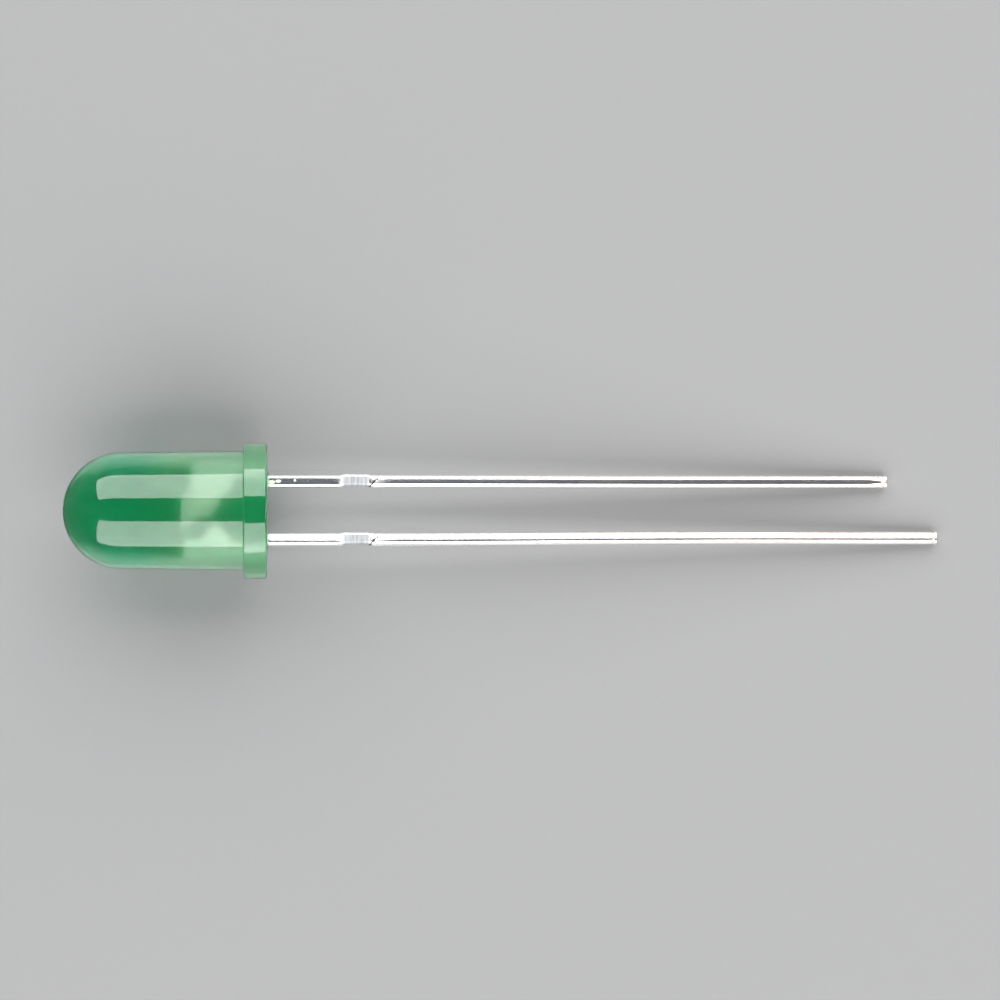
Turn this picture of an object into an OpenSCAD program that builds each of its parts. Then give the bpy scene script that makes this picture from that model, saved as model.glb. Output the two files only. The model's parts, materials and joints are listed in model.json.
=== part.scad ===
// Round through-hole LED with a diffused lens, lying on its side as it comes to rest.
//
// Every piece is drawn upright: z runs up the lens axis from the seating face, and x points
// towards the cathode. laid() then puts the whole part down on its three points of contact,
// which are the rim of the flange and the tips of the two leads.

/* [Lens] */
// Height of the lens from its seating face to the tip of its dome
lens_len = 8.75; // [7.2:0.05:10.5]
// Diameter of the barrel where it meets the dome
barrel_d = 5; // [4.1:0.1:6]
// Extra diameter of the barrel at the flange, left by the draft of the mould
barrel_draft = 0.15; // [0.05:0.05:0.3]
// Height of the flange
flange_h = 1; // [0.6:0.1:1.4]
// How far the flange stands out from the foot of the barrel
flange_rim = 0.38; // [0.24:0.02:0.6]
// How deep the flat beside the cathode cuts into the flange
flat_depth = 0.12; // [0.06:0.02:0.2]

/* [Leads] */
// Side of the square leads, which is also the thickness of the lead frame
lead_t = 0.52; // [0.42:0.02:0.64]
// Distance between the centres of the two leads
lead_pitch = 2.54; // [2.1:0.02:3.06]
// Length of the cathode lead below the seating face
cathode_len = 27.3; // [12:0.1:40]
// How much longer the anode lead is
anode_extra = 2.2; // [0.6:0.1:4]

/* [Trimmed tie bar] */
// Distance from the seating face down to the cut stub of the tie bar
stub_drop = 3.1; // [2:0.1:5]
// Length of the stub between its two ramps
stub_len = 1; // [0.6:0.1:2]
// Length of the ramp at each end of the stub
stub_ramp = 0.3; // [0.1:0.05:0.5]
// How far the cut pushed the stub sideways
stub_shift = 0.06; // [0.02:0.01:0.12]

/* [Lead frame inside the lens] */
// Height of the reflector cup's rim above the seating face
cup_h = 3.66; // [3.3:0.02:4.4]
// Outer diameter of the reflector cup at its rim
cup_d = 1.24; // [1.02:0.02:1.5]
// Wall of the reflector cup
cup_wall = 0.12; // [0.08:0.02:0.16]
// Depth of the reflector cup
cup_depth = 0.35; // [0.3:0.01:0.5]
// Diameter of the cup's flat floor
cup_floor_d = 0.5; // [0.46:0.02:0.6]
// Gap between the anvil under the cup and the post beside it
frame_gap = 0.3; // [0.2:0.02:0.36]
// Height above the seating face at which the two leads begin to widen
splay_h = 1.3; // [1:0.1:1.5]
// Height of the nose of the post above the seating face
nose_h = 2.2; // [2:0.05:2.4]
// Distance of the nose of the post from the lens axis
nose_x = 0.35; // [0.25:0.05:0.5]
// Radius of the anvil's outer corner
anvil_r = 0.4; // [0.2:0.05:0.5]
// Step that stands out from the lead at the head of the post and locks it in the lens
lock_step = 0.07; // [0.04:0.01:0.12]

/* [Die and bond wire] */
// Side of the square die
die_w = 0.3; // [0.24:0.02:0.3]
// Height of the die
die_h = 0.22; // [0.16:0.01:0.24]
// Thickness of the silver epoxy under the die
attach_t = 0.03; // [0.02:0.01:0.04]
// How far the silver epoxy spreads beyond the corners of the die
attach_rim = 0.01; // [0.005:0.005:0.015]
// Diameter of the gold wire
wire_d = 0.03; // [0.024:0.002:0.04]
// Height of the wire's loop above the die
loop_h = 0.35; // [0.25:0.01:0.5]
// Diameter of the ball that bonds the wire to the die
ball_d = 0.09; // [0.07:0.01:0.12]
// Height of that ball
ball_h = 0.03; // [0.02:0.01:0.04]

/* [Hidden] */
$fn = 96;

barrel_r = barrel_d / 2;
foot_r = barrel_r + barrel_draft / 2;
flange_r = foot_r + flange_rim;
flat_x = flange_r - flat_depth;
flat_half = sqrt(pow(flange_r, 2) - pow(flat_x, 2));
dome_h = lens_len - barrel_r;

anode_len = cathode_len + anode_extra;
lead_inner = (lead_pitch - lead_t) / 2;
lead_outer = (lead_pitch + lead_t) / 2;

cup_r = cup_d / 2;
cup_floor_h = cup_h - cup_depth;
cup_foot_h = cup_floor_h - 2 * cup_wall;
anvil_h = cup_floor_h - cup_wall / 2;
anvil_tip_x = cup_floor_d / 2;
die_base_h = cup_floor_h + attach_t;
bond_h = die_base_h + die_h;

post_inner = cup_r + frame_gap;
post_outer = max(lead_outer + lock_step, post_inner + 2 * ball_d);
post_neck_h = nose_h + (post_inner - nose_x) * 1.2;
bond_x = (post_inner + post_outer) / 2;
loop_r = (pow(bond_x / 2, 2) + pow(loop_h, 2)) / (2 * loop_h);

// ---- Resting pose ----
// The up direction of the table, seen by the upright part, is [-roll, -up_share, lean]. The roll
// follows from the lean, because the tips of a long and a short lead touch the same table.
roll_per_lean = anode_extra / lead_pitch;
function up_share(lean) = sqrt(1 - pow(lean, 2) * (1 + pow(roll_per_lean, 2)));
// How far the lowest corner of a square lead lies below its centre line
function corner_drop(lean) = lead_t / 2 * (roll_per_lean * lean + up_share(lean));
// One better guess at the lean that puts the flange rim and both tips at one height
function next_lean(lean) =
    (flange_r * sqrt(1 - pow(lean, 2)) - corner_drop(lean)) / ((cathode_len + anode_len) / 2);
function settled_lean(lean, rounds) = rounds == 0 ? lean : settled_lean(next_lean(lean), rounds - 1);

lean = settled_lean(0.1, 8);
level = sqrt(1 - pow(lean, 2));
table_z = [-roll_per_lean * lean, -up_share(lean), lean];
table_x = (lean * table_z - [0, 0, 1]) / level;
table_y = cross(table_z, table_x);

// How far the flange, with its flat, reaches from the centre of the seating face along e
function flange_reach(e) =
    let (across = norm([e.x, e.y]))
    (e.x * flange_r > flat_x * across ? e.x * flat_x + abs(e.y) * flat_half : across * flange_r)
    + max(0, e.z) * flange_h;
dome_reach = barrel_r - table_x.z * dome_h;
tip_reach = -table_x.x * lead_pitch / 2 - table_x.z * anode_len
    + (abs(table_x.x) + abs(table_x.y)) * lead_t / 2;

// Lays an upright piece on the table, with the origin under the middle of the whole part
module laid() {
    multmatrix([
        [table_x.x, table_x.y, table_x.z, (dome_reach - tip_reach) / 2],
        [table_y.x, table_y.y, table_y.z, (flange_reach(-table_y) - flange_reach(table_y)) / 2],
        [table_z.x, table_z.y, table_z.z, flange_r * level]
    ]) children();
}

// ---- Lead frame ----
// The side of a lead at x, from its tip up to just below the seating face, past the cut stub
function lead_side(x, len) = [
    [x, -len],
    [x, -stub_drop - stub_len - 2 * stub_ramp],
    [x + stub_shift, -stub_drop - stub_len - stub_ramp],
    [x + stub_shift, -stub_drop - stub_ramp],
    [x, -stub_drop]
];
function reversed(points) = [for (i = [len(points) - 1 : -1 : 0]) points[i]];
// A quarter round from east to north about a centre, as a list of points
function quarter(centre, radius) = [for (a = [0 : 15 : 90]) centre + radius * [cos(a), sin(a)]];

// The slanted edge of the anvil keeps frame_gap from the slanted edge of the post
post_nose = [-nose_x, nose_h];
post_neck = [-post_inner, post_neck_h];
slant = (post_neck - post_nose) / norm(post_neck - post_nose);
anvil_nose = post_nose + frame_gap * [slant.y, -slant.x];

// A flat stamping of the lead frame's thickness, from its outline in x and z
module stamped(outline) {
    rotate([90, 0, 0])
        linear_extrude(height = lead_t, center = true)
            polygon(outline);
}

module cathode_form() {
    difference() {
        union() {
            stamped(concat(
                lead_side(lead_outer, cathode_len),
                quarter([lead_outer - anvil_r, anvil_h - anvil_r], anvil_r),
                [[-anvil_tip_x, anvil_h], anvil_nose, [lead_inner, splay_h]],
                reversed(lead_side(lead_inner, cathode_len))
            ));
            translate([0, 0, cup_foot_h])
                cylinder(h = cup_h - cup_foot_h, r1 = cup_floor_d / 2 + cup_wall, r2 = cup_r);
        }
        translate([0, 0, cup_floor_h])
            cylinder(h = cup_depth, r1 = cup_floor_d / 2, r2 = cup_r - cup_wall);
    }
}

module anode_form() {
    stamped(concat(
        lead_side(-lead_inner, anode_len),
        [[-lead_inner, splay_h], post_nose, post_neck],
        [[-post_inner, bond_h], [-post_outer, bond_h], [-post_outer, nose_h]],
        [[-lead_outer, nose_h - lock_step]],
        reversed(lead_side(-lead_outer, anode_len))
    ));
}

// ---- Die and its bonds ----
module attach_form() {
    translate([0, 0, cup_floor_h])
        cylinder(h = attach_t, r = die_w / sqrt(2) + attach_rim);
}

module die_form() {
    translate([-die_w / 2, -die_w / 2, die_base_h])
        cube([die_w, die_w, die_h]);
}

// A flat arc of wire from the ball on the die to the top of the post, cut off level at both ends
module wire_form() {
    translate([0, 0, bond_h])
        cylinder(h = ball_h, d = ball_d);
    intersection() {
        translate([-bond_x / 2, 0, bond_h + loop_h - loop_r])
            rotate([90, 0, 0])
                rotate_extrude()
                    translate([loop_r, 0])
                        circle(d = wire_d);
        translate([-bond_x - wire_d, -wire_d, bond_h])
            cube([bond_x + 2 * wire_d, 2 * wire_d, loop_h + wire_d]);
    }
}

// ---- Lens ----
// Half the section of the lens: the flange, the drafted barrel and the dome above it
module lens_section() {
    square([flange_r, flange_h]);
    polygon([[0, 0], [foot_r, 0], [foot_r, flange_h], [barrel_r, dome_h], [0, dome_h]]);
    intersection() {
        translate([0, dome_h])
            circle(r = barrel_r);
        translate([0, dome_h])
            square([barrel_r, barrel_r]);
    }
}

module lens_form() {
    difference() {
        rotate_extrude()
            lens_section();
        translate([flat_x, -flange_r, 0])
            cube([2 * flat_depth, 2 * flange_r, flange_h]);
    }
}

// ---- Nodes ----
module epoxy_lens() {
    color("mediumseagreen")
        laid()
            difference() {
                lens_form();
                cathode_form();
                anode_form();
                attach_form();
                die_form();
                wire_form();
            }
}

module cathode_lead() {
    color("silver") laid() cathode_form();
}

module anode_lead() {
    color("lightgray") laid() anode_form();
}

module led_die() {
    color("darkkhaki") laid() die_form();
}

module die_attach() {
    color("gainsboro") laid() attach_form();
}

module bond_wire() {
    color("gold") laid() wire_form();
}

epoxy_lens();
cathode_lead();
anode_lead();
led_die();
die_attach();
bond_wire();
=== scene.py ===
"""Looks of a round through-hole LED on its side: diffused green epoxy over a tinned lead frame.

Every piece is modelled upright in millimetres, with z up the lens axis from the seating face and x
towards the cathode, and then laid where the frame holds it.
"""

import json
import math

import bmesh
import bpy
from mathutils import Matrix, Vector


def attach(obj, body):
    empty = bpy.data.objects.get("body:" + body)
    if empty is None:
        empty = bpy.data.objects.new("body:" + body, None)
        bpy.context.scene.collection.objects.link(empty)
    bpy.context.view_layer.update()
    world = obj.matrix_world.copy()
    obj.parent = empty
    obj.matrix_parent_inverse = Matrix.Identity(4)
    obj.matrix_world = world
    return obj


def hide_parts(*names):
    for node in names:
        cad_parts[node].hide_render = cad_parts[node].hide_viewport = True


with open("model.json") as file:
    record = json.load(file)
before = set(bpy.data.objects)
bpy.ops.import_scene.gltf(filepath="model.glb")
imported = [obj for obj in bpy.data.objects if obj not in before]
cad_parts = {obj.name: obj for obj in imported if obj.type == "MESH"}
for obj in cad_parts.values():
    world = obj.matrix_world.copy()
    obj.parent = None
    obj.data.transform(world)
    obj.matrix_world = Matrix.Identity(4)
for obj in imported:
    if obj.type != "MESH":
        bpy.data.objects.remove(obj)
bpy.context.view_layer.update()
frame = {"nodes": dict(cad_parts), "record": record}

MM = 0.001
# Heights that differ by less than this lie on one face, in millimetres
SAME_FACE = 0.01
SHARP_ANGLE = math.radians(50)

# ---- Lens, in millimetres ----
BARREL_R = 2.5
FOOT_R = 2.575
FLANGE_R = 2.955
FLANGE_H = 1.0
FLAT_X = 2.835
FLAT_BLEND = 0.03
EDGE_R = 0.05
FOOT_EDGE_R = 0.12
ROOT_R = 0.06
MENISCUS_H = 0.08
MENISCUS_REACH = 0.06
LENS_SEGMENTS = 192

# Droplets of epoxy on the cathode, by their distance below the lens and aside from the middle
FLASH_DROPS = (
    {"down": 0.2, "aside": -0.05, "length": 0.3, "width": 0.16},
    {"down": 0.48, "aside": -0.01, "length": 0.24, "width": 0.14},
    {"down": 1.2, "aside": 0.02, "length": 0.1, "width": 0.1},
)
FLASH_STAND = 0.025

# ---- Leads, in millimetres ----
LEAD_T = 0.52
TIN_T = 0.008
STAMPED_CORNER = 0.14
DIPPED_CORNER = 0.19

# The stub of the tie bar. Most of its sideways shift ends in a step, and the rest in a ramp.
STUB_TOP = -3.1
STUB_RAMP = 0.3
STUB_LEN = 1.0
STUB_END = STUB_TOP - STUB_RAMP - STUB_LEN
STUB_BOTTOM = STUB_END - STUB_RAMP
STUB_SHIFT = 0.06
STEP_SHARE = 0.6
STEP_HALF = 0.02
TIN_LINE = STUB_BOTTOM + 0.1

# The end of a lead, by distance from its tip
CUT_H = 0.05
CUT_SHARPER = 0.06
GROOVE_START = 0.05
GROOVE_MIDDLE = 0.1
GROOVE_END = 0.16
GROOVE_DEPTH = 0.02
ROUND_START = 0.15
ROUND_END = 0.9

# The twist dies out just inside the lens, and the trimming tool clamped most of it out of the stub
TWIST_ROOT = 0.6
TWIST_CLAMPED = 0.7

# How each lead differs from a straight bar. round_end is how far the tin has drawn the last
# millimetre into a round rod, from 0 to 1, and a bend is a sideways move between two heights.
CATHODE = {
    "node": "cathode_lead",
    "side": 1,
    "round_end": 0.85,
    "twist": 0,
    "bends": ({"by": -0.015, "start": -5, "end": -20},),
}
ANODE = {
    "node": "anode_lead",
    "side": -1,
    "round_end": 0,
    "twist": math.radians(8),
    "bends": (
        {"by": 0.055, "start": -4, "end": -20},
        {"by": -0.02, "start": -20, "end": -29},
    ),
}

# ---- Lead frame inside the lens, in millimetres ----
CUP_H = 3.66
CUP_R = 0.62
CUP_WALL = 0.12
CUP_DEPTH = 0.35
CUP_FLOOR_R = 0.25
CUP_FLOOR_H = CUP_H - CUP_DEPTH
CUP_EASE = 0.03
CUP_LIP = 0.04
CUP_COVE = 0.02
FRAME_GAP = 0.3
SPLAY_H = 1.3
LEG_TOP = SPLAY_H - 0.2
HEAD_FOOT = SPLAY_H - 0.5
HEAD_EDGE_R = 0.05
ANVIL_R = 0.4
LOCK_STEP = 0.07
DIE_H = 0.22
ATTACH_T = 0.03
BOND_H = CUP_FLOOR_H + ATTACH_T + DIE_H
POST_INNER = CUP_R + FRAME_GAP
NECK_SLOPE = 1.2
NOSE = Vector((-0.35, 2.2))
POST_NECK = Vector((-POST_INNER, NOSE.y + (POST_INNER + NOSE.x) * NECK_SLOPE))

# Rings of a lead: first by distance from its tip, then evenly, and closer together at the stub
TIP_RINGS = (
    0, 0.01, 0.03, 0.05, 0.07, 0.09, 0.11, 0.13, 0.16,
    0.2, 0.3, 0.4, 0.5, 0.6, 0.7, 0.8, 0.9,
)
RING_STEP = 0.15
FINE_STEP = 0.02
FINE_START = STUB_BOTTOM - 0.4
FINE_END = STUB_TOP + 0.3

# ---- Marks on the leads, in millimetres ----
# How far the two edges of the frosted cut stray from a straight line
FROST_STRAY_TOP = 0.3
FROST_STRAY_END = 0.25
# How far below the stub the marks of the trimming tool lie, and the rise of the slanted one
SLASH_DROP = 0.25
SLASH_SLANT = 0.9
TICK_DROP = 0.37
# How far the dull tin runs, below the stub's ramp and up from the cathode's tip
DULL_RUN = 0.9
DULL_TIP = 0.4
# Heights between which the tin grows warmer towards the tips
WARM_START = -6
WARM_END = -20

# ---- Colours, each from its darker to its lighter shade ----
# Painted light: the paler green at the foot stands for the lit lead frame seen through the lens
EPOXY_WITH_PAINTED_FRAME_GLOW = ((0.2, 0.72, 0.42), (0.26, 0.78, 0.48))
EPOXY_AT_DOME = ((0.04, 0.6, 0.37), (0.07, 0.66, 0.42))
CREAM_FLASH = ((0.42, 0.44, 0.33), (0.62, 0.63, 0.5))
DIE_CRYSTAL = ((0.5, 0.42, 0.12), (0.75, 0.66, 0.28))
SILVER_PASTE = ((0.4, 0.39, 0.37), (0.8, 0.79, 0.76))
GOLD = ((0.85, 0.56, 0.2), (1, 0.74, 0.34))
FRESH_TIN = ((0.72, 0.705, 0.69), (0.86, 0.845, 0.825))
HANDLED_TIN = ((0.8, 0.71, 0.66), (0.92, 0.84, 0.79))
FROSTED_STEEL = ((0.13, 0.135, 0.14), (0.27, 0.275, 0.28))
BRUISED_STEEL = ((0.02, 0.02, 0.02), (0.09, 0.085, 0.08))
# Pink, so that it looks cream through the green lens
DULL_PLATING = ((0.95, 0.62, 0.74), (1, 0.7, 0.82))

EPOXY_IOR = 1.54
CRYSTAL_IOR = 3.3

# ---- Stage, in metres and degrees ----
# Softboxes, by the direction in which they stand and the angles from straight up that they fill
SOFTBOXES = (
    {"name": "softbox_left", "bearing": 90, "inner": 24.2, "outer": 74, "length": 0.524},
    {"name": "softbox_right", "bearing": -90, "inner": 20.3, "outer": 73.6, "length": 0.524},
    {"name": "softbox_end", "bearing": 0, "inner": 50, "outer": 80, "length": 0.12},
)
SOFTBOX_DISTANCE = 0.3
SOFTBOX_GLOW = 7
ROOM_GLOW = (0.6, 0.6, 0.6, 1)
DARK_GLOW = (0.1, 0.12, 0.145, 1)

FLOOR_R = 1.5
FADE_START = 0.08
FADE_END = 0.3

CAMERA_PLACE = Vector((-0.00025, 0.00049, 0.1146))
CAMERA_WIDTH = 0.04447
SENSOR_MM = 36


# ---- Where the upright part lies ----
def mount(name):
    """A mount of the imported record, by name."""
    return next(m for m in frame["record"]["mounts"] if m["name"] == name)


seat = mount("seating_plane")
to_dome = -Vector(seat["axis"]).normalized()
seat_middle = Vector(seat["pos_m"])


def lead_tip(node):
    """The middle of a lead's cut end, in the row frame."""
    points = [v.co for v in frame["nodes"][node].data.vertices]
    lowest = min(p.dot(to_dome) for p in points)
    end = [p for p in points if p.dot(to_dome) < lowest + SAME_FACE * MM]
    return sum(end, Vector()) / len(end)


def lead_length(node):
    """Length of a lead below the seating face, in millimetres."""
    return (seat_middle - lead_tip(node)).dot(to_dome) / MM


across = lead_tip("cathode_lead") - lead_tip("anode_lead")
across -= to_dome * across.dot(to_dome)
to_cathode = across.normalized()
PITCH = across.length / MM
LEAD_OUTER = (PITCH + LEAD_T) / 2
LEAD_INNER = (PITCH - LEAD_T) / 2

lens_points = [v.co for v in frame["nodes"]["epoxy_lens"].data.vertices]
LENS_LEN = max((p - seat_middle).dot(to_dome) for p in lens_points) / MM
DOME_H = LENS_LEN - BARREL_R

laid = Matrix((to_cathode, to_dome.cross(to_cathode), to_dome)).transposed().to_4x4()
laid.translation = seat_middle
laid = laid @ Matrix.Scale(MM, 4)


# ---- Mesh helpers ----
def smoothstep(low, high, value):
    """0 below low, 1 above high and a smooth rise between them. low may be the larger one."""
    t = min(max((value - low) / (high - low), 0), 1)
    return t * t * (3 - 2 * t)


def smooth_smaller(a, b, blend):
    """The smaller of two lengths, with a rounded change from one to the other."""
    share = min(max(0.5 + 0.5 * (a - b) / blend, 0), 1)
    return a + (b - a) * share - blend * share * (1 - share)


def arc(centre, radius, start, end, steps):
    """Points of a round stretch about a centre, from one angle to another, in degrees."""
    angles = [math.radians(start + (end - start) * i / steps) for i in range(steps + 1)]
    return [(centre[0] + radius * math.cos(a), centre[1] + radius * math.sin(a)) for a in angles]


def line(start, end, steps):
    """Points from start up to but not including end."""
    return [tuple(s + (e - s) * i / steps for s, e in zip(start, end)) for i in range(steps)]


def bridge(bm, rings):
    """Joins rings of the same number of vertices, one after the other, with quads."""
    for low, high in zip(rings, rings[1:]):
        for i in range(len(low)):
            j = (i + 1) % len(low)
            bm.faces.new((low[i], low[j], high[j], high[i]))


def lathe(bm, profile, segments):
    """Turns a profile of (radius, height) points about z. It starts and ends on the axis."""
    turns = [2 * math.pi * i / segments for i in range(segments)]
    rings = []
    for radius, height in profile[1:-1]:
        points = [(radius * math.cos(t), radius * math.sin(t), height) for t in turns]
        rings.append([bm.verts.new(p) for p in points])
    bridge(bm, rings)
    for ring, (_, height) in ((rings[0], profile[0]), (rings[-1], profile[-1])):
        pole = bm.verts.new((0, 0, height))
        for i in range(segments):
            bm.faces.new((ring[i], ring[(i + 1) % segments], pole))


def new_object(name, bm):
    """Turns a bmesh into an object of the scene, and frees it."""
    mesh = bpy.data.meshes.new(name)
    bm.to_mesh(mesh)
    bm.free()
    ob = bpy.data.objects.new(name, mesh)
    bpy.context.scene.collection.objects.link(ob)
    return ob


def finished(name, bm, material, slot, *nodes):
    """Lays a bmesh in upright millimetres down as a smooth piece that stands for CAD nodes."""
    bmesh.ops.recalc_face_normals(bm, faces=bm.faces)
    bmesh.ops.transform(bm, matrix=laid, verts=bm.verts)
    piece = new_object(name, bm)
    piece.data.materials.append(material)
    piece.data.shade_smooth()
    piece.data.set_sharp_from_angle(angle=SHARP_ANGLE)
    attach(piece, "root")
    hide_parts(*nodes)


def fused(solids):
    """One bmesh that is the union of several closed bmeshes."""
    made = []
    for bm in solids:
        bmesh.ops.recalc_face_normals(bm, faces=bm.faces)
        made.append(new_object("solid", bm))
    whole = made[0]
    for other in made[1:]:
        union = whole.modifiers.new("union", "BOOLEAN")
        union.operation = "UNION"
        union.solver = "EXACT"
        union.object = other
    depsgraph = bpy.context.evaluated_depsgraph_get()
    out = bmesh.new()
    out.from_mesh(whole.evaluated_get(depsgraph).to_mesh())
    for ob in made:
        mesh = ob.data
        bpy.data.objects.remove(ob)
        bpy.data.meshes.remove(mesh)
    return out


# ---- Shader helpers ----
def upright_group():
    """Gives the place of a shaded point in upright millimetres."""
    group = bpy.data.node_groups.new("upright place", "ShaderNodeTree")
    group.interface.new_socket("Place", in_out="OUTPUT", socket_type="NodeSocketVector")
    where = group.nodes.new("ShaderNodeTexCoord")
    turn = group.nodes.new("ShaderNodeMapping")
    place, spin, size = laid.inverted().decompose()
    turn.inputs["Location"].default_value = place
    turn.inputs["Rotation"].default_value = spin.to_euler()
    turn.inputs["Scale"].default_value = size
    out = group.nodes.new("NodeGroupOutput")
    group.links.new(where.outputs["Object"], turn.inputs["Vector"])
    group.links.new(turn.outputs["Vector"], out.inputs["Place"])
    return group


def grain_group(place):
    """Soft grain that is fixed to the upright part."""
    group = bpy.data.node_groups.new("grain", "ShaderNodeTree")
    group.interface.new_socket("Spread", in_out="INPUT", socket_type="NodeSocketVector")
    group.interface.new_socket("Detail", in_out="INPUT", socket_type="NodeSocketFloat")
    group.interface.new_socket("Grain", in_out="OUTPUT", socket_type="NodeSocketFloat")
    inputs = group.nodes.new("NodeGroupInput")
    where = group.nodes.new("ShaderNodeGroup")
    where.node_tree = place
    stretch = group.nodes.new("ShaderNodeVectorMath")
    stretch.operation = "MULTIPLY"
    noise = group.nodes.new("ShaderNodeTexNoise")
    noise.inputs["Scale"].default_value = 1
    outputs = group.nodes.new("NodeGroupOutput")
    group.links.new(where.outputs["Place"], stretch.inputs[0])
    group.links.new(inputs.outputs["Spread"], stretch.inputs[1])
    group.links.new(stretch.outputs[0], noise.inputs["Vector"])
    group.links.new(inputs.outputs["Detail"], noise.inputs["Detail"])
    group.links.new(noise.outputs["Fac"], outputs.inputs["Grain"])
    return group


upright_place = upright_group()
soft_grain = grain_group(upright_place)

# Grain seldom leaves this range
GRAIN_LOW = 0.3
GRAIN_HIGH = 0.7
BUMP_STRENGTH = 0.5


def set_sockets(node, values):
    """Sets inputs of a node to fixed values, by name."""
    for name, value in values.items():
        node.inputs[name].default_value = value


def mixed(nodes, links, share, first, second):
    """From the first shader to the second by a share."""
    mix = nodes.new("ShaderNodeMixShader")
    for socket, source in zip(mix.inputs, (share, first, second)):
        links.new(source, socket)
    return mix.outputs[0]


class MaterialMaker:
    """A new node material, and short ways to add the usual nodes. Most hand back a socket."""

    def __init__(self, name):
        self.material = bpy.data.materials.new(name)
        self.material.use_nodes = True
        self.nodes = self.material.node_tree.nodes
        self.links = self.material.node_tree.links
        self.nodes.clear()
        self.output = self.nodes.new("ShaderNodeOutputMaterial")

    def surface(self, constants):
        """A Principled BSDF as the surface, with some of its sockets set to fixed values."""
        shader = self.nodes.new("ShaderNodeBsdfPrincipled")
        set_sockets(shader, constants)
        self.links.new(shader.outputs[0], self.output.inputs["Surface"])
        return shader

    def place(self):
        """The shaded point in upright millimetres."""
        node = self.nodes.new("ShaderNodeGroup")
        node.node_tree = upright_place
        return node.outputs["Place"]

    def axis(self, vector, name):
        """One part of a vector."""
        node = self.nodes.new("ShaderNodeSeparateXYZ")
        self.links.new(vector, node.inputs[0])
        return node.outputs[name]

    def ramp(self, value, start, end, low=0, high=1):
        """low at start, high at end, and a smooth change between them."""
        node = self.nodes.new("ShaderNodeMapRange")
        node.interpolation_type = "SMOOTHSTEP"
        set_sockets(node, {"From Min": start, "From Max": end, "To Min": low, "To Max": high})
        self.links.new(value, node.inputs["Value"])
        return node.outputs[0]

    def math(self, operation, a, b=0):
        """One step of arithmetic on sockets or numbers."""
        node = self.nodes.new("ShaderNodeMath")
        node.operation = operation
        for socket, value in zip(node.inputs, (a, b)):
            if isinstance(value, bpy.types.NodeSocket):
                self.links.new(value, socket)
            else:
                socket.default_value = value
        return node.outputs[0]

    def product(self, a, b):
        """a times b."""
        return self.math("MULTIPLY", a, b)

    def total(self, a, b):
        """a plus b."""
        return self.math("ADD", a, b)

    def largest(self, a, b):
        """The larger one of a and b."""
        return self.math("MAXIMUM", a, b)

    def grain(self, spread, detail):
        """Grain around a half, with spread specks or streaks to a millimetre along x, y and z."""
        node = self.nodes.new("ShaderNodeGroup")
        node.node_tree = soft_grain
        set_sockets(node, {"Spread": spread, "Detail": detail})
        return node.outputs["Grain"]

    def varied(self, grain, low, high):
        """A number that changes with a grain, between two given ones."""
        return self.ramp(grain, GRAIN_LOW, GRAIN_HIGH, low, high)

    def colours(self, grain, dark, light):
        """A colour that changes with a grain, between two given ones."""
        node = self.nodes.new("ShaderNodeValToRGB")
        ends = node.color_ramp.elements
        for end, position, colour in zip(ends, (GRAIN_LOW, GRAIN_HIGH), (dark, light)):
            end.position = position
            end.color = (*colour, 1)
        self.links.new(grain, node.inputs[0])
        return node.outputs[0]

    def mix(self, share, first, second):
        """From the first colour to the second by a share."""
        node = self.nodes.new("ShaderNodeMix")
        node.data_type = "RGBA"
        shown = [socket for socket in node.inputs if socket.enabled]
        for socket, value in zip(shown, (share, first, second)):
            self.links.new(value, socket)
        return next(socket for socket in node.outputs if socket.enabled)

    def bump(self, shader, height, millimetres):
        """Lets a height from 0 to 1 stand out that far from the surface."""
        node = self.nodes.new("ShaderNodeBump")
        set_sockets(node, {"Strength": BUMP_STRENGTH, "Distance": millimetres * MM})
        self.links.new(height, node.inputs["Height"])
        self.links.new(node.outputs[0], shader.inputs["Normal"])


# ---- Lens ----
def flange_reach(turn):
    """Radius of the flange at an angle from the cathode side, where the flat cuts into it."""
    if abs(turn) >= math.radians(60):
        return FLANGE_R
    return smooth_smaller(FLAT_X / math.cos(turn), FLANGE_R, FLAT_BLEND)


def meniscus(x, y):
    """How far the epoxy has crept down the leads at a point of the foot."""
    out = 0
    for side in (-1, 1):
        gap = max(abs(x - side * PITCH / 2), abs(y)) - LEAD_T / 2
        out = max(out, MENISCUS_H * math.exp(-max(gap, 0) / MENISCUS_REACH))
    return out


def lens_profile():
    """Half the section of the lens, from the middle of its foot, round the flange, to its tip."""
    rim = FLANGE_R - EDGE_R
    foot_rim = FLANGE_R - FOOT_EDGE_R
    dome = arc((0, DOME_H), BARREL_R, 0, 90, steps=48)
    return [
        *line((0, 0), (foot_rim, 0), steps=40),
        *arc((foot_rim, FOOT_EDGE_R), FOOT_EDGE_R, -90, 0, steps=6),
        *arc((rim, FLANGE_H - EDGE_R), EDGE_R, 0, 90, steps=5),
        *arc((FOOT_R + ROOT_R, FLANGE_H + ROOT_R), ROOT_R, 270, 180, steps=5),
        *line((FOOT_R, FLANGE_H + 2 * ROOT_R), (BARREL_R, DOME_H), steps=16),
        *dome[:-1],
        (0, LENS_LEN),
    ]


def cut_flat(point):
    """Draws a point of the flange in, where it stands beyond the flat."""
    radius = math.hypot(point.x, point.y)
    if radius > FOOT_R:
        reach = flange_reach(math.atan2(point.y, point.x))
        share = (reach - FOOT_R) / (FLANGE_R - FOOT_R)
        scale = (FOOT_R + (radius - FOOT_R) * share) / radius
        point.x *= scale
        point.y *= scale


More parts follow.
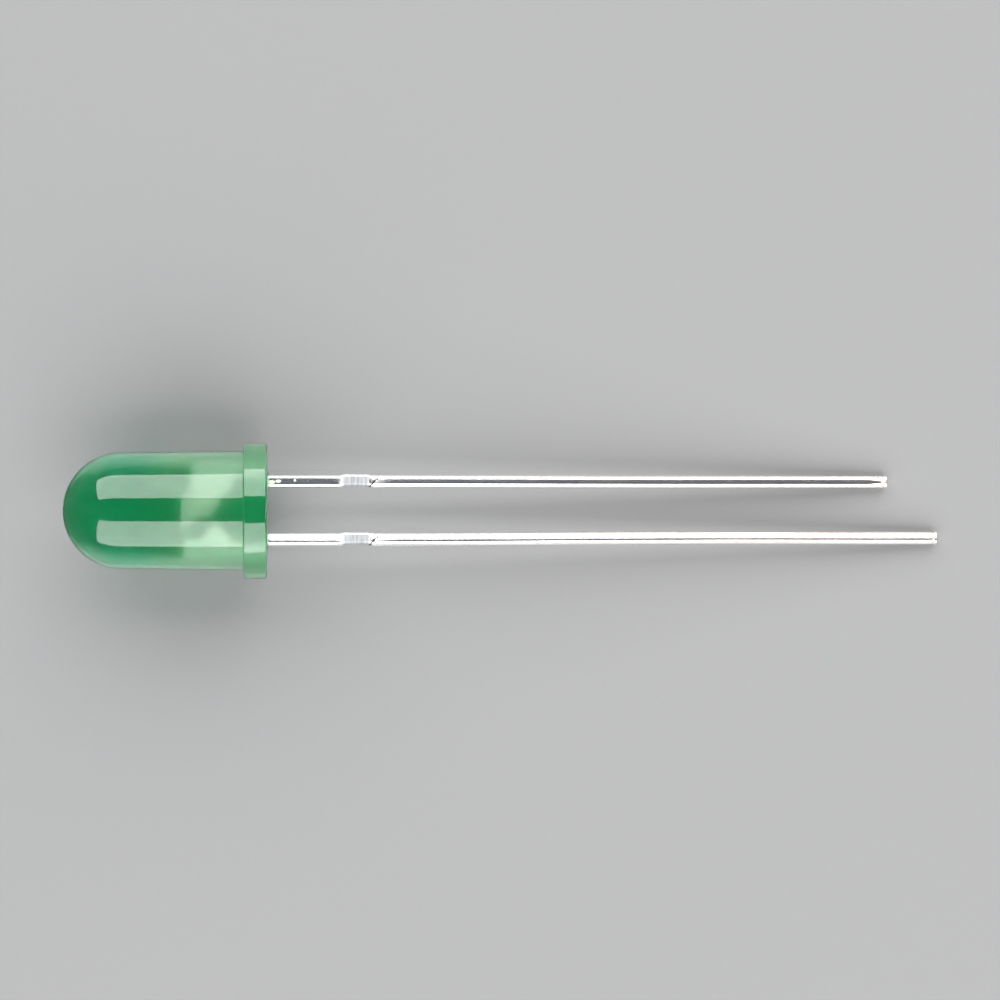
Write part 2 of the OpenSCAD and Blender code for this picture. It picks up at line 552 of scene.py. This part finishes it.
def moulded_lens():
    """Dome, barrel and flange in one, with the flat and the epoxy that crept down the leads."""
    level = 1e-6
    bm = bmesh.new()
    lathe(bm, lens_profile(), LENS_SEGMENTS)
    for v in bm.verts:
        if v.co.z <= FLANGE_H + level:
            cut_flat(v.co)
        if v.co.z < level:
            v.co.z -= meniscus(v.co.x, v.co.y)
    return bm


def add_dye(maker):
    """Fills the epoxy with green dye and a little diffusant."""
    dye = maker.nodes.new("ShaderNodeVolumeAbsorption")
    set_sockets(dye, {"Color": (0.8, 0.78, 0.69, 1), "Density": 500})
    diffusant = maker.nodes.new("ShaderNodeVolumeScatter")
    set_sockets(diffusant, {"Color": (0, 1, 0.5, 1), "Density": 120, "Anisotropy": 0})
    inside = maker.nodes.new("ShaderNodeAddShader")
    maker.links.new(dye.outputs[0], inside.inputs[0])
    maker.links.new(diffusant.outputs[0], inside.inputs[1])
    maker.links.new(inside.outputs[0], maker.output.inputs["Volume"])


def green_epoxy():
    """Cloudy green epoxy under a glossy moulded skin, with painted light: paler green round the lit
    lead frame, deeper green towards the dome.
    """
    maker = MaterialMaker("green_epoxy")
    draw_marks = maker.grain((2.5, 2.5, 0.15), 3)
    clouds = maker.grain((0.9, 0.9, 0.6), 2)
    # Painted light: paler up to just below the top of the reflector cup, where the lit frame shows
    # through, fading to deeper green 2 mm above it
    past_painted_frame_glow = maker.ramp(maker.axis(maker.place(), "Z"), CUP_H - 0.2, CUP_H + 2)
    foot_with_painted_glow = maker.colours(clouds, *EPOXY_WITH_PAINTED_FRAME_GLOW)
    at_dome = maker.colours(clouds, *EPOXY_AT_DOME)
    gloss = maker.ramp(draw_marks, 0.25, 0.75, 0.86, 1)
    # The black tint leaves it to the coat to make the one sharp reflection
    skin = maker.surface({
        "Specular Tint": (0, 0, 0, 1),
        "Coat Roughness": 0.04,
        "IOR": EPOXY_IOR,
        "Transmission Weight": 1,
    })
    maker.links.new(maker.mix(past_painted_frame_glow, foot_with_painted_glow, at_dome), skin.inputs["Base Color"])
    maker.links.new(maker.varied(clouds, 0.4, 0.47), skin.inputs["Roughness"])
    maker.links.new(gloss, skin.inputs["Coat Weight"])
    maker.bump(skin, draw_marks, 0.004)
    add_dye(maker)
    return maker.material


def flash_droplets():
    """Droplets of epoxy that crept out along the top of the cathode when the lens was cast."""
    bm = bmesh.new()
    for drop in FLASH_DROPS:
        made = bmesh.new()
        lathe(made, [(0, -1), *arc((0, 0), 1, -75, 75, steps=10), (0, 1)], segments=24)
        size = Matrix.Diagonal((drop["width"] / 2, FLASH_STAND, drop["length"] / 2, 1))
        place = Matrix.Translation((PITCH / 2 + drop["aside"], -LEAD_T / 2, -drop["down"]))
        bmesh.ops.transform(made, matrix=place @ size, verts=made.verts)
        mesh = bpy.data.meshes.new("drop")
        made.to_mesh(mesh)
        made.free()
        bm.from_mesh(mesh)
        bpy.data.meshes.remove(mesh)
    return bm


def epoxy_flash():
    """Thin epoxy over bright tin, which looks cream because hardly any dye is left in it."""
    maker = MaterialMaker("epoxy_flash")
    clouds = maker.grain((9, 9, 9), 3)
    film = maker.surface({"IOR": EPOXY_IOR})
    maker.links.new(maker.colours(clouds, *CREAM_FLASH), film.inputs["Base Color"])
    maker.links.new(maker.varied(clouds, 0.12, 0.3), film.inputs["Roughness"])
    maker.bump(film, clouds, 0.01)
    return maker.material


# ---- Die and its bonds ----
def sawn_crystal():
    """Crystal of the die: clear gallium phosphide, sawn rough on its sides."""
    maker = MaterialMaker("semiconductor")
    saw_marks = maker.grain((14, 14, 90), 3)
    crystal = maker.surface({"IOR": CRYSTAL_IOR})
    maker.links.new(maker.colours(saw_marks, *DIE_CRYSTAL), crystal.inputs["Base Color"])
    maker.links.new(maker.varied(saw_marks, 0.15, 0.4), crystal.inputs["Roughness"])
    maker.bump(crystal, saw_marks, 0.004)
    return maker.material


def silver_epoxy():
    """Silver-filled epoxy: grey paste full of bright flakes."""
    maker = MaterialMaker("silver_epoxy")
    flakes = maker.grain((60, 60, 60), 4)
    paste = maker.surface({})
    maker.links.new(maker.colours(flakes, *SILVER_PASTE), paste.inputs["Base Color"])
    maker.links.new(maker.ramp(flakes, 0.45, 0.6), paste.inputs["Metallic"])
    maker.links.new(maker.ramp(flakes, 0.4, 0.7, 0.7, 0.35), paste.inputs["Roughness"])
    maker.bump(paste, flakes, 0.006)
    return maker.material


def gold_wire():
    """Drawn gold wire."""
    maker = MaterialMaker("gold_wire")
    draw_lines = maker.grain((20, 140, 20), 3)
    gold = maker.surface({"Metallic": 1})
    maker.links.new(maker.colours(draw_lines, *GOLD), gold.inputs["Base Color"])
    maker.links.new(maker.varied(draw_lines, 0.16, 0.32), gold.inputs["Roughness"])
    maker.bump(gold, draw_lines, 0.002)
    return maker.material


# ---- Shape of the leads ----
def section(half, corner, steps=8):
    """A square of that half side with round corners."""
    flat = half - corner
    out = []
    for quarter, (sx, sy) in enumerate(((1, 1), (-1, 1), (-1, -1), (1, -1))):
        out += arc((sx * flat, sy * flat), corner, 90 * quarter, 90 * quarter + 90, steps)
    return [Vector(p) for p in out]


def stub_share(z):
    """1 on the cut stub of the tie bar, and 0 away from it."""
    ramp_up = 1 - smoothstep(STUB_TOP - STUB_RAMP, STUB_TOP, z)
    step_down = smoothstep(STUB_END - STEP_HALF, STUB_END + STEP_HALF, z)
    ramp_down = smoothstep(STUB_BOTTOM, STUB_END, z)
    return ramp_up * (STEP_SHARE * step_down + (1 - STEP_SHARE) * ramp_down)


def ring_heights(length):
    """Heights of a lead's rings, closer together at the tip and at the stub."""
    heights = [h - length for h in TIP_RINGS]
    while heights[-1] < LEG_TOP:
        z = heights[-1]
        heights.append(z + (FINE_STEP if FINE_START < z < FINE_END else RING_STEP))
    return heights


def corner_radius(dipped, from_tip, round_end):
    """Radius of a lead's long edges: more under tin and at a round end, less at the cut."""
    corner = STAMPED_CORNER + (DIPPED_CORNER - STAMPED_CORNER) * dipped
    corner += round_end * (LEAD_T / 2 - corner) * (1 - smoothstep(ROUND_START, ROUND_END, from_tip))
    return corner - CUT_SHARPER * (1 - smoothstep(0, CUT_H, from_tip))


def half_side(dipped, from_tip):
    """Half the side of a lead: more under tin, and less in the groove that the shear left."""
    into = smoothstep(GROOVE_START, GROOVE_MIDDLE, from_tip)
    groove = into * (1 - smoothstep(GROOVE_MIDDLE, GROOVE_END, from_tip))
    return LEAD_T / 2 + TIN_T * dipped - GROOVE_DEPTH * groove


def lead_leg(lead):
    """A lead from its sheared tip to inside the lens, with the cut stub of the tie bar on its way."""
    bm = bmesh.new()
    length = lead_length(lead["node"])
    rings = []
    for z in ring_heights(length):
        from_tip = z + length
        stub = stub_share(z)
        dipped = 1 - smoothstep(TIN_LINE, STUB_END, z)
        corner = corner_radius(dipped, from_tip, lead["round_end"])
        outline = section(half_side(dipped, from_tip), corner)
        twist = lead["twist"] * smoothstep(TWIST_ROOT, 0, z) * (1 - TWIST_CLAMPED * stub)
        turned = [Matrix.Rotation(twist, 2) @ p for p in outline]
        bow = sum(bend["by"] * smoothstep(bend["start"], bend["end"], z) for bend in lead["bends"])
        shift = lead["side"] * PITCH / 2 + STUB_SHIFT * stub + bow
        rings.append([bm.verts.new((shift + p.x, p.y, z)) for p in turned])
    bridge(bm, rings)
    bm.faces.new(rings[0])
    bm.faces.new(rings[-1])
    return bm


def stamped(outline):
    """A flat stamping of the lead frame's thickness, from its outline in x and z, with eased edges."""
    bm = bmesh.new()
    face = bm.faces.new([bm.verts.new((x, -LEAD_T / 2, z)) for x, z in outline])
    made = bmesh.ops.extrude_face_region(bm, geom=[face])
    moved = [v for v in made["geom"] if isinstance(v, bmesh.types.BMVert)]
    bmesh.ops.translate(bm, vec=(0, LEAD_T, 0), verts=moved)
    bmesh.ops.recalc_face_normals(bm, faces=bm.faces)
    bmesh.ops.bevel(
        bm, geom=bm.edges[:], offset=HEAD_EDGE_R, segments=3, profile=0.5, affect="EDGES"
    )
    return bm


def cathode_head():
    """The anvil above the cathode lead. Its slanted edge keeps its distance from the post."""
    slant = (POST_NECK - NOSE).normalized()
    anvil_nose = NOSE + FRAME_GAP * Vector((slant.y, -slant.x))
    top = CUP_FLOOR_H - CUP_WALL / 2
    return stamped([
        (LEAD_OUTER, HEAD_FOOT),
        *arc((LEAD_OUTER - ANVIL_R, top - ANVIL_R), ANVIL_R, 0, 90, steps=6),
        (-CUP_FLOOR_R, top),
        tuple(anvil_nose),
        (LEAD_INNER, SPLAY_H),
        (LEAD_INNER, HEAD_FOOT),
    ])


def reflector_cup():
    """The coined reflector cup on top of the anvil."""
    bm = bmesh.new()
    foot_h = CUP_FLOOR_H - 2 * CUP_WALL
    foot_r = CUP_FLOOR_R + CUP_WALL
    mouth_r = CUP_R - CUP_WALL
    lathe(bm, [
        (0, foot_h),
        (foot_r - CUP_EASE, foot_h),
        (foot_r, foot_h + CUP_EASE),
        (CUP_R, CUP_H - CUP_LIP),
        (CUP_R - CUP_EASE, CUP_H),
        (mouth_r + CUP_EASE, CUP_H),
        (mouth_r, CUP_H - CUP_EASE),
        (CUP_FLOOR_R + CUP_COVE, CUP_FLOOR_H + CUP_COVE),
        (CUP_FLOOR_R - CUP_COVE, CUP_FLOOR_H),
        (0, CUP_FLOOR_H),
    ], segments=64)
    return bm


def anode_head():
    """The post above the anode lead, where the bond wire lands."""
    outer = LEAD_OUTER + LOCK_STEP
    return stamped([
        (-LEAD_INNER, HEAD_FOOT),
        (-LEAD_INNER, SPLAY_H),
        tuple(NOSE),
        tuple(POST_NECK),
        (-POST_INNER, BOND_H),
        (-outer, BOND_H),
        (-outer, NOSE.y),
        (-LEAD_OUTER, NOSE.y - LOCK_STEP),
        (-LEAD_OUTER, HEAD_FOOT),
    ])


# ---- Finish of the leads ----
def near(maker, value, centre, core, edge):
    """1 up to core from a centre, and 0 beyond edge."""
    return maker.ramp(maker.math("ABSOLUTE", maker.total(value, -centre)), core, edge, 1, 0)


def shear_marks(maker, off_centre, z):
    """A slanted line and a short tick that the trimming tool left just below each stub."""
    slanted = maker.total(z, maker.product(off_centre, SLASH_SLANT))
    slash = near(maker, slanted, STUB_END - SLASH_DROP, 0.02, 0.1)
    slash = maker.product(slash, maker.ramp(off_centre, 0, 0.1, 1, 0))
    tick = near(maker, z, STUB_END - TICK_DROP, 0.01, 0.06)
    tick = maker.product(tick, maker.ramp(off_centre, -0.02, 0.04))
    tick = maker.product(tick, maker.ramp(off_centre, 0.14, 0.18, 1, 0))
    return maker.largest(slash, tick)


def cut_stub(maker, off_centre, z):
    """The frosted cut face of the stub. The tin around it has a ragged edge."""
    stray = maker.math("SUBTRACT", maker.grain((24, 24, 24), 3), 0.5)
    top_edge = maker.total(z, maker.product(stray, FROST_STRAY_TOP))
    end_edge = maker.total(z, maker.product(stray, FROST_STRAY_END))
    below_top = maker.ramp(top_edge, STUB_TOP + 0.1, STUB_TOP - STUB_RAMP)
    above_end = maker.ramp(end_edge, STUB_END - 0.03, STUB_END + 0.03)
    face = maker.ramp(off_centre, 0.19, 0.27, 1, 0)
    return maker.product(maker.product(below_top, above_end), face)


def dull_tin(maker, dipped, x, z):
    """The dull tin: a run just below each stub, and the end of the cathode."""
    run = maker.product(dipped, maker.ramp(z, STUB_BOTTOM - DULL_RUN, STUB_BOTTOM + 0.1))
    tip = -lead_length("cathode_lead")
    at_tip = maker.ramp(z, tip + DULL_TIP, tip + 0.15)
    on_cathode = maker.ramp(x, -0.01, 0.01)
    return maker.largest(run, maker.product(at_tip, on_cathode))


def tin_zones(maker):
    """Where the tin differs, as masks by name, and the height of the shaded point."""
    place = maker.place()
    x = maker.axis(place, "X")
    z = maker.axis(place, "Z")
    lead_middle = maker.product(maker.math("SIGN", x), PITCH / 2)
    off_centre = maker.math("SUBTRACT", x, lead_middle)
    dipped = maker.ramp(z, STUB_END, STUB_END - 0.2)
    return {
        "z": z,
        "dipped": dipped,
        "stub": cut_stub(maker, off_centre, z),
        "dull": dull_tin(maker, dipped, x, z),
        "inside": maker.ramp(z, -0.1, 0.15),
        "marks": shear_marks(maker, off_centre, z),
    }


def tin_colour(maker, zones, streaks, specks, blotches):
    """Bright tin that warms towards the tips, the frosted stub, the bruises and the dull plating."""
    scrapes = maker.grain((1.2, 1.2, 14), 3)
    fresh = maker.colours(streaks, *FRESH_TIN)
    handled = maker.colours(streaks, *HANDLED_TIN)
    colour = maker.mix(maker.ramp(zones["z"], WARM_START, WARM_END), fresh, handled)
    colour = maker.mix(zones["stub"], colour, maker.colours(scrapes, *FROSTED_STEEL))
    colour = maker.mix(zones["marks"], colour, maker.colours(specks, *BRUISED_STEEL))
    return maker.mix(zones["inside"], colour, maker.colours(blotches, *DULL_PLATING))


def tinned_steel():
    """Stamped steel under bright tin, frosted on the cut stub and plated dull inside the lens."""
    maker = MaterialMaker("tinned_steel")
    zones = tin_zones(maker)
    streaks = maker.grain((9, 9, 0.35), 3)
    specks = maker.grain((24, 24, 24), 3)
    blotches = maker.grain((1.6, 1.6, 0.5), 2)
    bare = maker.largest(zones["stub"], zones["inside"])
    roughness = maker.total(maker.varied(blotches, 0.165, 0.19), maker.product(zones["dull"], 0.15))
    roughness = maker.total(roughness, maker.product(bare, 0.35))
    relief = maker.product(streaks, maker.ramp(zones["dipped"], 0, 1, 0.05, 0.03))
    relief = maker.total(relief, maker.product(specks, zones["stub"]))
    relief = maker.math("SUBTRACT", relief, zones["marks"])
    tin = maker.surface({})
    colour = tin_colour(maker, zones, streaks, specks, blotches)
    maker.links.new(colour, tin.inputs["Base Color"])
    maker.links.new(maker.ramp(bare, 0, 1, 1, 0.25), tin.inputs["Metallic"])
    maker.links.new(roughness, tin.inputs["Roughness"])
    maker.bump(tin, relief, 0.012)
    return maker.material


# ---- Stage ----
def softbox(name, bearing, inner, outer, length):
    """A soft light in one direction from the LED, between two angles from straight up."""
    middle = math.radians((inner + outer) / 2)
    turn = math.radians(bearing)
    light = bpy.data.lights.new(name, "AREA")
    light.shape = "RECTANGLE"
    light.size = length
    light.size_y = 2 * SOFTBOX_DISTANCE * math.tan(math.radians((outer - inner) / 2))
    light.energy = SOFTBOX_GLOW * math.pi * light.size * light.size_y
    ob = bpy.data.objects.new(name, light)
    bpy.context.scene.collection.objects.link(ob)
    outward = Vector((math.cos(turn), math.sin(turn), 0)) * math.sin(middle)
    ob.location = (outward + Vector((0, 0, math.cos(middle)))) * SOFTBOX_DISTANCE
    ob.rotation_euler = (-middle, 0, turn - math.pi / 2)
    ob.visible_camera = False


def card(maker, colour, roughness, ior):
    """Plain card with a thin gloss."""
    shader = maker.nodes.new("ShaderNodeBsdfPrincipled")
    set_sockets(shader, {"Base Color": (*colour, 1), "Roughness": roughness, "IOR": ior})
    return shader.outputs[0]


def far_away(maker):
    """0 round the LED, and 1 from the end of the fade on."""
    place = maker.nodes.new("ShaderNodeNewGeometry")
    distance = maker.nodes.new("ShaderNodeVectorMath")
    distance.operation = "LENGTH"
    maker.links.new(place.outputs["Position"], distance.inputs[0])
    return maker.ramp(distance.outputs["Value"], FADE_START, FADE_END)


def pale_floor():
    """Pale card that fades into the room and is glossier in reflections. Through the lens it is a
    painted shadow: a dark green card for the LED's green-tinted shade under it.
    """
    maker = MaterialMaker("pale_floor")
    nodes, links = maker.nodes, maker.links
    path = nodes.new("ShaderNodeLightPath").outputs
    seen = card(maker, (0.155, 0.155, 0.155), roughness=1, ior=1.1)
    mirrored = card(maker, (0.01, 0.01, 0.01), roughness=0.3, ior=2.2)
    # Painted shadow: seen through the lens the floor is dark green, standing for the green-tinted
    # shade the LED casts under itself
    through = card(maker, (0.002, 0.03, 0.016), roughness=1, ior=1.1)
    room = nodes.new("ShaderNodeEmission")
    room.inputs["Color"].default_value = ROOM_GLOW
    floor_card = mixed(nodes, links, path["Is Transmission Ray"], seen, through)
    floor_card = mixed(nodes, links, path["Is Glossy Ray"], floor_card, mirrored)
    seen_far = maker.product(far_away(maker), path["Is Camera Ray"])
    whole = mixed(nodes, links, seen_far, floor_card, room.outputs[0])
    links.new(whole, maker.output.inputs["Surface"])
    return maker.material


def floor():
    """A round floor, whose edge lies far beyond its fade into the room."""
    bm = bmesh.new()
    bmesh.ops.create_circle(bm, cap_ends=True, radius=FLOOR_R, segments=96)
    ob = new_object("floor", bm)
    ob.data.materials.append(pale_floor())


def surroundings():
    """A pale room to the camera, and a dark one with a faint glow to reflections."""
    world = bpy.data.worlds.new("studio")
    world.use_nodes = True
    nodes, links = world.node_tree.nodes, world.node_tree.links
    nodes.clear()
    room = nodes.new("ShaderNodeBackground")
    room.inputs["Color"].default_value = ROOM_GLOW
    dark = nodes.new("ShaderNodeBackground")
    dark.inputs["Color"].default_value = DARK_GLOW
    path = nodes.new("ShaderNodeLightPath")
    whole = mixed(nodes, links, path.outputs["Is Camera Ray"], dark.outputs[0], room.outputs[0])
    links.new(whole, nodes.new("ShaderNodeOutputWorld").inputs["Surface"])
    bpy.context.scene.world = world


def camera():
    """Looks straight down from a hand's breadth above the LED."""
    data = bpy.data.cameras.new("camera")
    data.sensor_width = SENSOR_MM
    data.lens = SENSOR_MM * CAMERA_PLACE.z / CAMERA_WIDTH
    data.clip_start = 0.001
    data.clip_end = 10
    ob = bpy.data.objects.new("camera", data)
    bpy.context.scene.collection.objects.link(ob)
    ob.location = CAMERA_PLACE
    bpy.context.scene.camera = ob


# ---- Put it together ----
tin = tinned_steel()
cathode = fused([lead_leg(CATHODE), cathode_head(), reflector_cup()])
anode = fused([lead_leg(ANODE), anode_head()])
finished("lens", moulded_lens(), green_epoxy(), "green_epoxy", "epoxy_lens")
finished("cathode", cathode, tin, "tinned_steel", "cathode_lead")
finished("anode", anode, tin, "tinned_steel", "anode_lead")
finished("flash", flash_droplets(), epoxy_flash(), "green_epoxy")

bonded = {"led_die": sawn_crystal(), "die_attach": silver_epoxy(), "bond_wire": gold_wire()}
for node, material in bonded.items():
    frame["nodes"][node].material_slots[0].material = material

floor()
for box in SOFTBOXES:
    softbox(**box)
surroundings()
camera()
bpy.context.scene.view_settings.view_transform = "Standard"
bpy.context.scene.cycles.volume_bounces = 8
